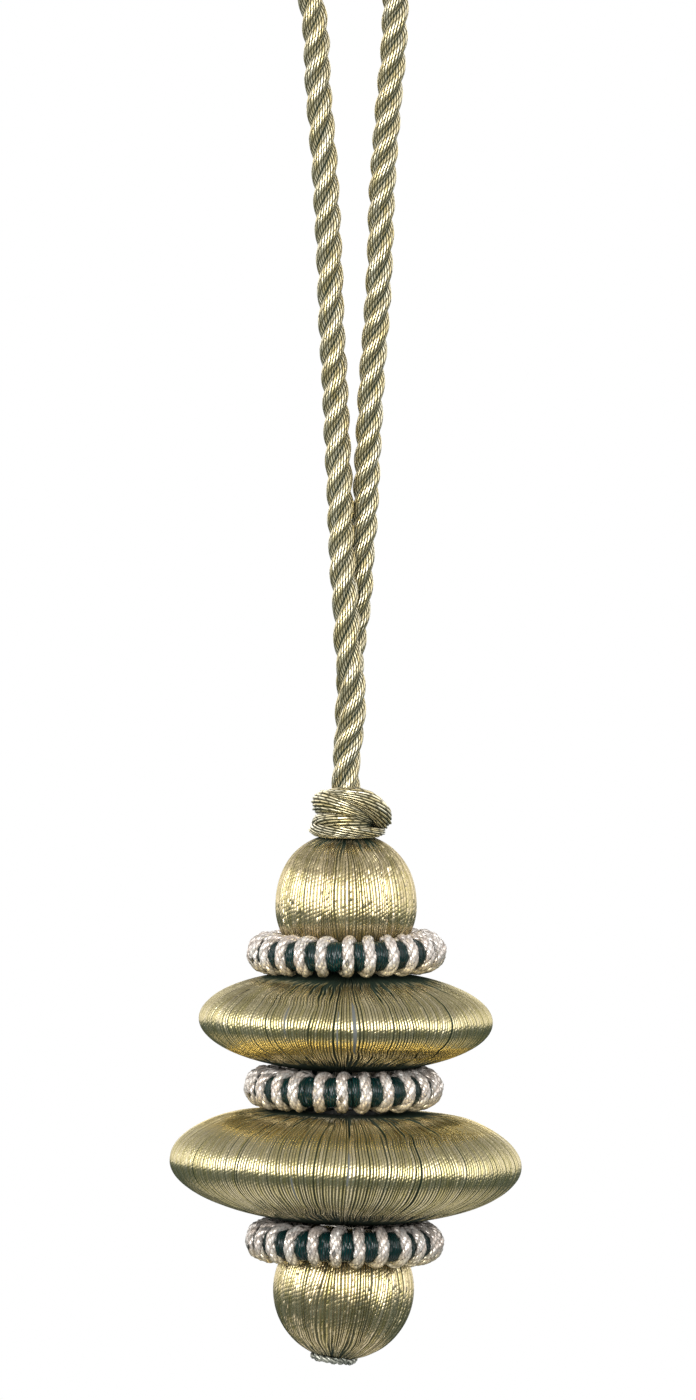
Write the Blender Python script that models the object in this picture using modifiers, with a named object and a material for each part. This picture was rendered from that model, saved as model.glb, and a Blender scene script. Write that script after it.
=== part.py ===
"""A key tassel of gold thread, hung up by its cord loop, in metres with +Z up.

The origin is the inside of the loop's crown, where a hook bears. The front faces -Y. Down from the
crown hang the two legs of one three-strand cord, a collar knot, and then, threaded one under the
other, a ball, a ring, a disc, a ring, a wider disc, a ring, a ball and a small end tie.
"""

import math

import bmesh
import bpy
import numpy as np

MM = 0.001
GAP = 0.3 * MM  # clearance that touching pieces keep
FACET_SAG = 0.12 * MM  # how far the facets of two touching pieces lie inside their true curves

# Cord: a right-handed rope of three strands
CORD_RADIUS = 2.6 * MM
CORD_VALLEY_RADIUS = 2.05 * MM
CORD_STRANDS = 3
CORD_LAY = 17.4 * MM  # length of one full turn of the strands
CORD_STEPS_PER_LAY = 8
POINTS_PER_STRAND = 3
SAMPLES_PER_SPAN = 12

# Route of the cord's centreline, from the front leg's end in the knot, over the crown and down
# the back leg: (x, y, z) in millimetres
CORD_ROUTE_MM = (
    (-0.2, -2.8, -183.4),
    (-0.4, -2.8, -176.0),
    (-0.3, -2.75, -169.3),
    (1.0, -2.7, -161.3),
    (1.2, -2.7, -155.3),
    (0.1, -2.7, -147.3),
    (-0.2, -2.5, -139.3),
    (-0.9, -2.1, -131.3),
    (-1.2, -1.4, -123.3),
    (-1.4, -0.9, -115.3),
    (-1.9, -0.2, -105.3),
    (-2.5, 0.0, -93.3),
    (-3.1, 0.0, -81.3),
    (-3.4, 0.0, -71.3),
    (-3.9, 0.0, -61.3),
    (-4.7, 0.0, -47.3),
    (-5.8, 0.0, -33.3),
    (-6.3, 0.0, -23.3),
    (-7.4, 0.0, -16.0),
    (-9.2, 0.0, -8.6),
    (-8.3, 0.0, -2.2),
    (-4.6, 0.0, 1.6),
    (0.0, 0.0, 2.5),
    (4.9, 0.0, 1.4),
    (8.8, 0.0, -2.5),
    (10.0, 0.0, -8.6),
    (9.7, 0.0, -16.0),
    (9.2, 0.0, -28.3),
    (8.3, 0.0, -38.3),
    (7.1, 0.0, -53.3),
    (6.4, 0.0, -73.3),
    (4.9, 0.0, -93.3),
    (4.2, 0.3, -107.3),
    (3.7, 1.0, -117.3),
    (2.9, 1.8, -127.3),
    (2.3, 2.4, -137.3),
    (1.1, 2.7, -146.3),
    (0.3, 2.7, -157.3),
    (0.0, 2.8, -169.3),
    (0.2, 2.8, -183.4),
)

# Collar knot: three soft coils round both legs
KNOT_HOLE_X = -0.1 * MM
KNOT_HOLE_HALF_WIDTH = 3.65 * MM
KNOT_HOLE_HALF_DEPTH = 6.1 * MM
KNOT_HOLE_HALF_HEIGHT = 20 * MM  # longer than the knot, so that the hole goes right through
KNOT_HOLE_SIDES = 32
KNOT_COIL_STEPS = 26
KNOT_COIL_POINTS = 8
# Each coil, in millimetres: its centre, half width and half depth of its centreline, half
# thickness, half height on the left and on the right, and how far its right side dips, in degrees
KNOT_COILS = {
    "upper": dict(x=0.75, z=-178.4, wide=5.8, deep=8.3, thick=2.4, left=2.5, right=3.9, dip=7.0),
    "middle": dict(x=0.4, z=-181.2, wide=5.4, deep=7.7, thick=2.1, left=1.9, right=1.7, dip=-5.0),
    "lower": dict(x=0.3, z=-182.7, wide=6.0, deep=8.1, thick=2.0, left=1.55, right=1.55, dip=0.0),
}

# Balls: wound moulds, the upper one fuller round its neck, flat where they meet the discs
BALL_RADIUS = 14.1 * MM
ROUND = 2.0  # power of a plain circle's profile
NECK_POWER = 2.2  # power of the fuller profile under the knot
BALL_UPPER_TOP_HALF = 14.8 * MM
BALL_UPPER_Z = -198.5 * MM
BALL_UPPER_X = -0.2 * MM
BALL_UPPER_LOWER_HALF = 12.8 * MM
BALL_UPPER_FLAT = 12.2 * MM
BALL_LOWER_TOP_FLAT = 12.4 * MM
BALL_LOWER_END_FLAT = 13.4 * MM
BALL_LOWER_X = -0.74 * MM
BALL_LOWER_LEAN = 8.0
BALL_SEGMENTS = 28
BALL_ROWS = 12

# Rings: a silk core wound with a flattened cord
RING_RADIUS = 15.8 * MM
RING_CORE_RADIUS = 2.65 * MM
RING_OUTER_RADIUS = 4.3 * MM
RING_WRAPS = 24
RING_WRAP_STEPS = 8
RING_WRAP_WIDTH = 2.6 * MM
RING_WRAP_CROWN = 0.62  # share of the wrap's width that its outer face keeps
RING_WRAP_BUNCHING = 1.1  # how much of the advance is made on the ring's inner side
RING_SEGMENTS = 32
RING_CORE_POINTS = 8
RING_REST_HALVINGS = 40  # of a quarter turn, to find where a ring rests
# Each ring: its place along X in millimetres, its tilt, and the angle of the wrap at its front
RINGS = {
    1: dict(x=-0.1, tilt=-0.5, phase=0.0),
    2: dict(x=-0.7, tilt=0.4, phase=-1.0),
    3: dict(x=-0.5, tilt=1.0, phase=-5.4),
}

# Discs: lens-shaped moulds, the lower one with a flat seat for its ring
DISC_UPPER_RADIUS = 29.4 * MM
DISC_UPPER_HALF_HEIGHT = 10.3 * MM
DISC_UPPER_X = -0.24 * MM
DISC_UPPER_TILT = 1.0
DISC_LOWER_RADIUS = 35.2 * MM
DISC_LOWER_TOP_HEIGHT = 13.0 * MM
DISC_LOWER_BOTTOM_HEIGHT = 12.2 * MM
DISC_LOWER_SEAT = 10.4 * MM
DISC_LOWER_X = -0.3 * MM
DISC_LOWER_TILT = 1.5
DISC_SEGMENTS = 40
DISC_ROWS = 14

# End tie: a flat coil under the lower ball
TIE_RADIUS = 4.8 * MM
TIE_END_RADIUS = 3.2 * MM
TIE_HEIGHT = 1.3 * MM
TIE_ROWS = 5
TIE_SEGMENTS = 20

MERGE_DISTANCE = 0.00001  # within which a turned profile's poles close

# Each material's base colour, roughness and metallic value
COLOURS = {
    "gold_thread": ((0.52, 0.43, 0.20), 0.36, 0.8),
    "gold_cord": ((0.56, 0.48, 0.27), 0.38, 0.75),
    "dark_silk": ((0.012, 0.04, 0.045), 0.55, 0.0),
    "champagne_cord": ((0.72, 0.58, 0.46), 0.34, 0.7),
    "tie_thread": ((0.16, 0.18, 0.17), 0.45, 0.4),
}


def clear_scene():
    for old in list(bpy.data.objects):
        bpy.data.objects.remove(old, do_unlink=True)


def new_collection(name):
    collection = bpy.data.collections.new(name)
    bpy.context.scene.collection.children.link(collection)
    return collection


def thread_material(slot):
    colour, roughness, metallic = COLOURS[slot]
    material = bpy.data.materials.new(slot)
    material.use_nodes = True
    shader = material.node_tree.nodes["Principled BSDF"]
    shader.inputs["Base Color"].default_value = (*colour, 1.0)
    shader.inputs["Roughness"].default_value = roughness
    shader.inputs["Metallic"].default_value = metallic
    return material


def place(mesh, name, collection, material=None, location=(0, 0, 0), tilt=0.0):
    """Makes a mesh an object of the collection, its right side dipping by tilt, in degrees."""
    piece = bpy.data.objects.new(name, mesh)
    collection.objects.link(piece)
    piece.location = location
    piece.rotation_euler = (0, math.radians(tilt), 0)
    if material:
        mesh.materials.append(material)
    return piece


def move_to(piece, collection):
    """Takes a piece out of the collections it is in and puts it in the one given."""
    for used in list(piece.users_collection):
        used.objects.unlink(piece)
    collection.objects.link(piece)


def turned(profile, name, collection, material, segments, location, tilt=0.0):
    """A solid of revolution: profile points (radius, height) run from the top pole to the bottom."""
    mesh = bpy.data.meshes.new(name)
    points = [(radius, 0, height) for radius, height in profile]
    edges = [(i, i + 1) for i in range(len(points) - 1)]
    mesh.from_pydata(points, edges, [])
    piece = place(mesh, name, collection, material, location, tilt)
    screw = piece.modifiers.new("Turn", "SCREW")
    screw.steps = segments
    screw.render_steps = segments
    screw.use_merge_vertices = True
    screw.merge_threshold = MERGE_DISTANCE
    screw.use_smooth_shade = True
    return piece


def lofted(sections, name, closed):
    """A mesh skin over sections, an array of (section, point, xyz); open lofts get flat ends."""
    count, around, _ = sections.shape
    bm = bmesh.new()
    rings = [[bm.verts.new(point) for point in section] for section in sections]
    spans = count if closed else count - 1
    for i in range(spans):
        here, there = rings[i], rings[(i + 1) % count]
        for j in range(around):
            k = (j + 1) % around
            bm.faces.new((here[j], here[k], there[k], there[j]))
    if not closed:
        bm.faces.new(rings[0])
        bm.faces.new(rings[-1])
    bmesh.ops.recalc_face_normals(bm, faces=bm.faces)
    mesh = bpy.data.meshes.new(name)
    bm.to_mesh(mesh)
    bm.free()
    mesh.shade_smooth()
    return mesh


def unit(vectors):
    return vectors / np.linalg.norm(vectors, axis=-1, keepdims=True)


def smooth_route(points, samples):
    """A cubic curve through the points, whose slope at each is that of the chord of its neighbours."""
    points = np.asarray(points)
    span = np.linalg.norm(np.diff(points, axis=0), axis=1)
    at = np.concatenate([[0], np.cumsum(span)])
    slope = np.gradient(points, at, axis=0)
    u = np.linspace(0, 1, samples, endpoint=False)[None, :, None]
    start, end = points[:-1, None], points[1:, None]
    leave, arrive = slope[:-1, None] * span[:, None, None], slope[1:, None] * span[:, None, None]
    curve = (
        (2 * u**3 - 3 * u**2 + 1) * start
        + (u**3 - 2 * u**2 + u) * leave
        + (3 * u**2 - 2 * u**3) * end
        + (u**3 - u**2) * arrive
    )
    return np.vstack([curve.reshape(-1, 3), points[-1:]])


def even_steps(curve, step):
    """The curve read again at nearly equal steps, and the distance along it of each point."""
    along = np.concatenate([[0], np.cumsum(np.linalg.norm(np.diff(curve, axis=0), axis=1))])
    at = np.linspace(0, along[-1], round(along[-1] / step) + 1)
    return np.stack([np.interp(at, along, curve[:, i]) for i in range(3)], axis=1), at


def hanging_cord(collection, material):
    """One rope from knot to knot: a three-lobed section that turns once in each lay length."""
    route = np.array(CORD_ROUTE_MM) * MM
    centre, along = even_steps(smooth_route(route, SAMPLES_PER_SPAN), CORD_LAY / CORD_STEPS_PER_LAY)
    forward = unit(np.gradient(centre, axis=0))
    depth = np.array([0, 1.0, 0])
    side = unit(depth - (forward @ depth)[:, None] * forward)
    other = np.cross(forward, side)
    points = CORD_STRANDS * POINTS_PER_STRAND
    angle = np.arange(points) * math.tau / points
    lobe = np.arange(points) % POINTS_PER_STRAND == 0
    radius = np.where(lobe, CORD_RADIUS, CORD_VALLEY_RADIUS)
    turn = angle[None] + (along * math.tau / CORD_LAY)[:, None]
    out = np.cos(turn)[..., None] * side[:, None] + np.sin(turn)[..., None] * other[:, None]
    sections = centre[:, None] + radius[None, :, None] * out
    place(lofted(sections, "hanging_cord", False), "hanging_cord", collection, material)


def knot_coil(x, z, wide, deep, thick, left, right, dip):
    """One closed coil: an oval path round both legs, whose half height goes from left to right."""
    angle = np.arange(KNOT_COIL_STEPS) * math.tau / KNOT_COIL_STEPS
    around = np.arange(KNOT_COIL_POINTS) * math.tau / KNOT_COIL_POINTS
    share = (1 + np.cos(angle)) / 2
    tall = (left + (right - left) * share)[:, None] * np.sin(around)
    out = unit(np.stack([np.cos(angle) / wide, np.sin(angle) / deep], axis=1))
    sideways = (wide * np.cos(angle))[:, None] + out[:, :1] * thick * np.cos(around)
    depth = (deep * np.sin(angle))[:, None] + out[:, 1:] * thick * np.cos(around)
    height = z + tall - sideways * math.tan(math.radians(dip))
    return np.stack([x + sideways, depth, height], axis=2) * MM


def collar_knot(parts, cutters, material):
    """The coils joined into one body, with an oval hole in which both legs of the cord stand."""
    coils = {
        name: place(lofted(knot_coil(**sizes), name, True), f"knot_{name}", cutters)
        for name, sizes in KNOT_COILS.items()
    }
    knot = coils.pop("upper")
    move_to(knot, parts)
    knot.name = "collar_knot"
    knot.data.materials.append(material)
    bpy.ops.mesh.primitive_cylinder_add(
        vertices=KNOT_HOLE_SIDES,
        location=(KNOT_HOLE_X, 0, KNOT_COILS["middle"]["z"] * MM),
        scale=(KNOT_HOLE_HALF_WIDTH, KNOT_HOLE_HALF_DEPTH, KNOT_HOLE_HALF_HEIGHT),
    )
    hole = bpy.context.object
    hole.name = "knot_hole"
    move_to(hole, cutters)
    for tool, operation in [*((coil, "UNION") for coil in coils.values()), (hole, "DIFFERENCE")]:
        tool.hide_render = True
        tool.display_type = "WIRE"
        cut = knot.modifiers.new(tool.name, "BOOLEAN")
        cut.operation = operation
        cut.object = tool


def ball_profile(top_half, top_power, lower_half, top_flat, bottom_flat):
    """From pole to pole: a quarter oval of the given power above, a quarter ellipse below, cut flat."""
    angle = np.linspace(0, math.pi, BALL_ROWS + 1)
    upper = angle < math.pi / 2
    bend = np.where(upper, 2 / top_power, 1)
    across = BALL_RADIUS * np.sin(angle) ** bend
    height = np.where(upper, top_half, -lower_half) * np.abs(np.cos(angle)) ** bend
    across[[0, -1]] = 0
    return list(zip(across, np.clip(height, -bottom_flat, top_flat)))


def disc_profile(radius, top, bottom, seat):
    """From pole to pole: half an ellipse above and half below, cut level at the seat on top."""
    angle = np.linspace(0, math.pi, DISC_ROWS + 1)
    height = np.where(angle < math.pi / 2, top, bottom) * np.cos(angle)
    across = radius * np.sin(angle)
    across[[0, -1]] = 0
    rim = radius * math.sqrt(1 - (seat / top) ** 2) if seat < top else 0
    profile = [(0, seat), (rim, seat)] if rim else []
    return profile + [(r, z) for r, z in zip(across, height) if not rim or z < seat]


def ring_over(radius, height):
    """How far a ring's centre lies over the centre of the ellipse, radius by height, it rests on.

    The ring's section touches where the ellipse's point, moved out along its normal by the
    section's radius and the gap, comes to the ring's own radius. The point is found by halving.
    """
    reach = RING_OUTER_RADIUS + GAP - FACET_SAG
    low, high = 0.0, math.pi / 2
    for _ in range(RING_REST_HALVINGS):
        angle = (low + high) / 2
        across, up = height * math.sin(angle), radius * math.cos(angle)
        length = math.hypot(across, up)
        if radius * math.sin(angle) + reach * across / length < RING_RADIUS:
            low = angle
        else:
            high = angle
    return height * math.cos(angle) + reach * up / length


def tilt_room(number, tilt):
    """Room for a ring tilted against the piece it rests on, whose low side meets it first."""
    return RING_RADIUS * abs(math.tan(math.radians(RINGS[number]["tilt"] - tilt)))


def wrap_section():
    """The flattened cord across its run: (sideways, outwards from the core's clearance)."""
    half = RING_WRAP_WIDTH / 2
    crown = RING_WRAP_CROWN * half
    low = RING_CORE_RADIUS + GAP + 2 * FACET_SAG
    return np.array([(-half, low), (-crown, RING_OUTER_RADIUS), (crown, RING_OUTER_RADIUS), (half, low)])


def ring_wrap(phase):
    """A closed winding: it goes once round the ring while it turns many times round the core."""
    steps = RING_WRAPS * RING_WRAP_STEPS
    tube = np.arange(steps) * math.tau / RING_WRAP_STEPS
    front = math.radians(phase) - math.pi / 2
    ring = front + (tube - RING_WRAP_BUNCHING * np.sin(tube)) / RING_WRAPS
    flat = np.zeros(steps)
    outwards = np.stack([np.cos(ring), np.sin(ring), flat], axis=1)
    normal = outwards * np.cos(tube)[:, None] + np.stack([flat, flat, np.sin(tube)], axis=1)
    centre = outwards * RING_RADIUS
    run = centre + normal * RING_OUTER_RADIUS
    forward = unit(np.roll(run, -1, axis=0) - np.roll(run, 1, axis=0))
    side = unit(np.cross(forward, normal))
    across, out = wrap_section().T
    return centre[:, None] + side[:, None] * across[None, :, None] + normal[:, None] * out[None, :, None]


def ring(number, z, parts, core_material, wrap_material):
    """One ring: a plain torus of silk and the cord wound round it, a little apart."""
    where = RINGS[number]
    location = (where["x"] * MM, 0, z)
    tilt = where["tilt"]
    bpy.ops.mesh.primitive_torus_add(
        major_segments=RING_SEGMENTS,
        minor_segments=RING_CORE_POINTS,
        major_radius=RING_RADIUS,
        minor_radius=RING_CORE_RADIUS,
        location=location,
        rotation=(0, math.radians(tilt), 0),
    )
    core = bpy.context.object
    core.name = f"ring_core_{number}"
    move_to(core, parts)
    core.data.materials.append(core_material)
    core.data.shade_smooth()
    name = f"ring_wrap_{number}"
    place(lofted(ring_wrap(where["phase"]), name, True), name, parts, wrap_material, location, tilt)


def tie_profile():
    """From the seat under the ball to the end: a quarter round that draws in to the end's flat."""
    angle = np.linspace(0, math.pi / 2, TIE_ROWS)
    across = TIE_END_RADIUS + (TIE_RADIUS - TIE_END_RADIUS) * np.cos(angle)
    height = -TIE_HEIGHT * np.sin(angle)
    return [(0, 0), *zip(across, height), (0, -TIE_HEIGHT)]


def main():
    clear_scene()
    parts = new_collection("key_tassel")
    cutters = new_collection("cutters")
    gold, cord, silk, champagne, tie = [thread_material(slot) for slot in COLOURS]

    over_disc_upper = ring_over(DISC_UPPER_RADIUS, DISC_UPPER_HALF_HEIGHT)
    over_seat = DISC_LOWER_SEAT + RING_OUTER_RADIUS + GAP
    under_disc_lower = ring_over(DISC_LOWER_RADIUS, DISC_LOWER_BOTTOM_HEIGHT)
    ring_1 = BALL_UPPER_Z - ring_over(BALL_RADIUS, BALL_UPPER_LOWER_HALF)
    disc_upper = ring_1 - over_disc_upper - tilt_room(1, DISC_UPPER_TILT)
    ring_2 = disc_upper - over_disc_upper - tilt_room(2, DISC_UPPER_TILT)
    disc_lower = ring_2 - over_seat - tilt_room(2, DISC_LOWER_TILT)
    ring_3 = disc_lower - under_disc_lower - tilt_room(3, DISC_LOWER_TILT)
    ball_lower = ring_3 - ring_over(BALL_RADIUS, BALL_RADIUS)

    hanging_cord(parts, cord)
    collar_knot(parts, cutters, cord)
    turned(
        ball_profile(
            BALL_UPPER_TOP_HALF, NECK_POWER, BALL_UPPER_LOWER_HALF, BALL_UPPER_TOP_HALF, BALL_UPPER_FLAT
        ),
        "ball_upper",
        parts,
        gold,
        BALL_SEGMENTS,
        (BALL_UPPER_X, 0, BALL_UPPER_Z),
    )
    for number, z in enumerate((ring_1, ring_2, ring_3), start=1):
        ring(number, z, parts, silk, champagne)
    turned(
        disc_profile(
            DISC_UPPER_RADIUS, DISC_UPPER_HALF_HEIGHT, DISC_UPPER_HALF_HEIGHT, DISC_UPPER_HALF_HEIGHT
        ),
        "disc_upper",
        parts,
        gold,
        DISC_SEGMENTS,
        (DISC_UPPER_X, 0, disc_upper),
        DISC_UPPER_TILT,
    )
    turned(
        disc_profile(
            DISC_LOWER_RADIUS, DISC_LOWER_TOP_HEIGHT, DISC_LOWER_BOTTOM_HEIGHT, DISC_LOWER_SEAT
        ),
        "disc_lower",
        parts,
        gold,
        DISC_SEGMENTS,
        (DISC_LOWER_X, 0, disc_lower),
        DISC_LOWER_TILT,
    )
    turned(
        ball_profile(BALL_RADIUS, ROUND, BALL_RADIUS, BALL_LOWER_TOP_FLAT, BALL_LOWER_END_FLAT),
        "ball_lower",
        parts,
        gold,
        BALL_SEGMENTS,
        (BALL_LOWER_X, 0, ball_lower),
        BALL_LOWER_LEAN,
    )
    hang = BALL_LOWER_END_FLAT + GAP
    lean = math.radians(BALL_LOWER_LEAN)
    turned(
        tie_profile(),
        "end_tie",
        parts,
        tie,
        TIE_SEGMENTS,
        (
            BALL_LOWER_X - hang * math.sin(lean),
            0,
            ball_lower - hang * math.cos(lean),
        ),
        BALL_LOWER_LEAN,
    )


main()
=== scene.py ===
"""A gold key tassel hung by its loop of cord, with every thread of it raised.

Each new piece is one or more grids of points, worked out in millimetres by a formula that its
function's docstring gives in words. The front faces -Y, and the origin is the inside of the loop's
crown.
"""

import math

import bpy
import numpy as np
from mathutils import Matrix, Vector


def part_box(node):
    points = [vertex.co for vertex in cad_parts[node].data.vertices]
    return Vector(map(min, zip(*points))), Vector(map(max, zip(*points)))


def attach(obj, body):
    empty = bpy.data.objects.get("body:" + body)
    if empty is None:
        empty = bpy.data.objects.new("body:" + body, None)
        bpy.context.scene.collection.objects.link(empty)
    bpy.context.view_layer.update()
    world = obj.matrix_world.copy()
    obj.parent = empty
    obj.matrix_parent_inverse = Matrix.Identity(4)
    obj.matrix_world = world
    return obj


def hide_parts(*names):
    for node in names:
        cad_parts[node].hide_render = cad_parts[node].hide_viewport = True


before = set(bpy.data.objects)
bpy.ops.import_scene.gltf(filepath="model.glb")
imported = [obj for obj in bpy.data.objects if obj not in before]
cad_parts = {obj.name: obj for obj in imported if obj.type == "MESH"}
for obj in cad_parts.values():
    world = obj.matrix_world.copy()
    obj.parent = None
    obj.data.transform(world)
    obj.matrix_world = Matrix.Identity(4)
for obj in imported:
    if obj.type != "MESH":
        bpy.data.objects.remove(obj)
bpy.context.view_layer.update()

MM = 0.001

# Camera: near the height of the loop, so that the body is seen from 4 degrees above
CAMERA_DISTANCE = 3.0
CAMERA_TARGET = (0.0002, 0.0, -0.1571)
CAMERA_ELEVATION = 2.43
CAMERA_SENSOR = 36  # in millimetres, as its lens is
FRAME_HEIGHT = 0.28  # height of the picture at the tassel

# Surround: at each elevation in degrees its brightness, as a share of its strength, and its redness
SKY = (
    (-90, 0.22, 1.0),
    (-60, 0.18, 1.0),
    (-46, 0.06, 0.7),
    (-16, 0.06, 0.7),
    (-7, 0.16, 0.85),
    (-2, 0.56, 1.0),
    (12, 0.68, 1.0),
    (34, 0.5, 1.0),
    (50, 0.22, 1.0),
    (90, 0.14, 1.0),
)
SKY_STRENGTH = 2.2
LAMPS = {
    "front_soft": dict(
        place=(0.0, -0.765, -0.005), target=(0, 0, -0.23), width=0.9, height=0.5, brightness=3.9
    ),
    "back_soft": dict(
        place=(0.0, 0.72, 0.13), target=(0, 0, -0.23), width=0.9, height=0.5, brightness=0.9
    ),
    "cord_soft": dict(
        place=(-0.25, -0.5, -0.05), target=(0, 0, -0.1), width=0.2, height=0.25, brightness=7.0
    ),
}
FLOOR_HEIGHT = -0.9
FLOOR_RADIUS = 0.55
FLOOR_SIDES = 64
FLOOR_FADE = (0.15, 0.5)  # radii between which the floor fades out
FLOOR_COLOUR = (0.82, 0.81, 0.79)
FLOOR_ROUGHNESS = 0.9

# Finishes: a thread's tone runs from dark to light, and its foil glitters in facets. glitter is the
# most that a facet's normal tilts, facet the facets in one turn of the foil, slant how many of them a
# cut climbs across a thread, bulge a facet's height in metres, nick the darkness of a cut, speckle the
# weight of a facet's chance in its tone, and gap_from how far off the crest a gap starts, in half
# threads
FINISHES = {
    "gold_thread": dict(
        dark=(0.42, 0.35, 0.12), light=(1.0, 0.83, 0.55), gap_colour=(0.012, 0.026, 0.01),
        metallic=0.95, roughness=0.2, specular=0.3, glitter=0.5, facet=1.0, slant=0.6,
        bulge=0.00002, nick=0.0, speckle=0.4, gap_from=0.42,
    ),
    "gold_thread_disc": dict(
        dark=(0.53, 0.45, 0.17), light=(1.0, 0.87, 0.61), gap_colour=(0.01, 0.022, 0.008),
        metallic=0.95, roughness=0.2, specular=0.3, glitter=0.22, facet=1.0, slant=0.6,
        bulge=0.00002, nick=0.0, speckle=0.2, gap_from=0.34,
    ),
    "gold_cord": dict(
        dark=(0.84, 0.66, 0.27), light=(1.0, 0.95, 0.76), gap_colour=(0.05, 0.04, 0.01),
        metallic=0.88, roughness=0.27, specular=0.2, glitter=0.35, facet=1.0, slant=0.15,
        bulge=0.00003, nick=0.8, speckle=0.4, gap_from=0.47,
    ),
    "dark_silk": dict(
        dark=(0.0003, 0.011, 0.0105), light=(0.001, 0.031, 0.03), gap_colour=(0.0003, 0.003, 0.003),
        metallic=0.0, roughness=0.1, specular=0.4, glitter=2.0, facet=0.5, slant=0.9,
        bulge=0.00006, nick=0.0, speckle=0.4, gap_from=0.55,
    ),
    "champagne_cord": dict(
        dark=(0.74, 0.62, 0.53), light=(1.0, 0.97, 0.92), gap_colour=(0.16, 0.11, 0.08),
        metallic=0.5, roughness=0.24, specular=0.5, glitter=2.0, facet=1.3, slant=0.9,
        bulge=0.00009, nick=0.5, speckle=0.4, gap_from=0.45,
    ),
    "tie_thread": dict(
        dark=(0.06, 0.08, 0.06), light=(1.0, 0.98, 0.84), gap_colour=(0.02, 0.02, 0.02),
        metallic=0.6, roughness=0.4, specular=0.5, glitter=1.0, facet=1.0, slant=0.5,
        bulge=0.00002, nick=0.0, speckle=0.4, gap_from=0.5,
    ),
}
GLITTER_POWER = 3.0  # of the chance that tilts a facet, so that most tilt only a little
TONE_BY_THREAD = 0.45
TONE_BY_PATCH = 0.15
PATCH_SCALE = 160.0  # of the noise that mottles the tone, in patches a metre
PATCH_DETAIL = 3.0
GAP_SOFTNESS = 0.2  # how far a gap takes to reach its full darkness, in half threads
NICK_EDGES = (0.6, 0.9)  # where the dark of a cut starts and is full, from a facet's middle to its end
GAP_DULLNESS = 0.5  # share of its foil that a gap loses
DULL_ROUGHNESS = 0.4  # added in gaps and in shade
BARE_COLOUR = (0.12, 0.125, 0.12)  # of the mould in a slit
# Colour of the painted reflection of gold, on gold thread that faces more gold thread
PAINTED_REFLECTION_COLOUR = (1.0, 0.78, 0.32)  # of gold thread that faces more gold thread
SHADE_COLOUR = (0.02, 0.034, 0.022)  # where pieces meet, and inside the knot
SHADE_REACH = 0.0006  # in metres
SHADE_POWER = 0.8
SHADE_SAMPLES = 6

# Threads: those of cord, knot and silk are ridges of three points, the first of them in the gap
# before it, and those of a wound mould have four: mid gap, start, crest and end
RIDGE_POINTS = 3
WOUND_POINTS = 4
BEAD = 0.85  # pitch of the foil's turns along a thread

# Cord: three strands, each of laid threads
CORD_LAY = 17.4
CORD_STRANDS = 3
CORD_STEP = 0.65
CORD_SEED = 1
CORD_SWAYS = ((0.22, 1 / 13.0, 0.0), (0.14, 1 / 5.1, 1.0))  # size and rate in radians, and start
ROUTE_SAMPLES = 12  # of the smooth route between two of its points
STRAND_RADIUS = 1.38
STRAND_OFFSET = 1.34
STRAND_THREADS = 14
STRAND_TURN = -0.62  # turn of a strand's threads about its own axis, in radians a millimetre
STRAND_BEADS = 7  # foil beads seen in one turn round a strand
STRAND_GROOVE = 0.13  # depth of the gaps, in shares of the strand's radius, as are the next two
STRAND_SWELL = 0.03
STRAND_PROUD = 0.03
SWELL_LENGTH = 5.3  # in millimetres to a radian of the wave, as is the next
PROUD_LENGTH = 2.3
SEAM_START = 0.42  # cosine of the angle off a strand's outer side at which the shade of its seam begins
SEAM_FADE = 0.55
SEAM_SHADE = 0.95
CORD_ROUTE_MM = (
    (-0.2, -2.8, -183.4),
    (-0.4, -2.8, -176.0),
    (-0.3, -2.75, -169.3),
    (1.0, -2.7, -161.3),
    (1.2, -2.7, -155.3),
    (0.1, -2.7, -147.3),
    (-0.2, -2.5, -139.3),
    (-0.9, -2.1, -131.3),
    (-1.2, -1.4, -123.3),
    (-1.4, -0.9, -115.3),
    (-1.9, -0.2, -105.3),
    (-2.5, 0.0, -93.3),
    (-3.1, 0.0, -81.3),
    (-3.4, 0.0, -71.3),
    (-3.9, 0.0, -61.3),
    (-4.7, 0.0, -47.3),
    (-5.8, 0.0, -33.3),
    (-6.3, 0.0, -23.3),
    (-7.4, 0.0, -16.0),
    (-9.2, 0.0, -8.6),
    (-8.3, 0.0, -2.2),
    (-4.6, 0.0, 1.6),
    (0.0, 0.0, 2.5),
    (4.9, 0.0, 1.4),
    (8.8, 0.0, -2.5),
    (10.0, 0.0, -8.6),
    (9.7, 0.0, -16.0),
    (9.2, 0.0, -28.3),
    (8.3, 0.0, -38.3),
    (7.1, 0.0, -53.3),
    (6.4, 0.0, -73.3),
    (4.9, 0.0, -93.3),
    (4.2, 0.3, -107.3),
    (3.7, 1.0, -117.3),
    (2.9, 1.8, -127.3),
    (2.3, 2.4, -137.3),
    (1.1, 2.7, -146.3),
    (0.3, 2.7, -157.3),
    (0.0, 2.8, -169.3),
    (0.2, 2.8, -183.4),
)

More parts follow.
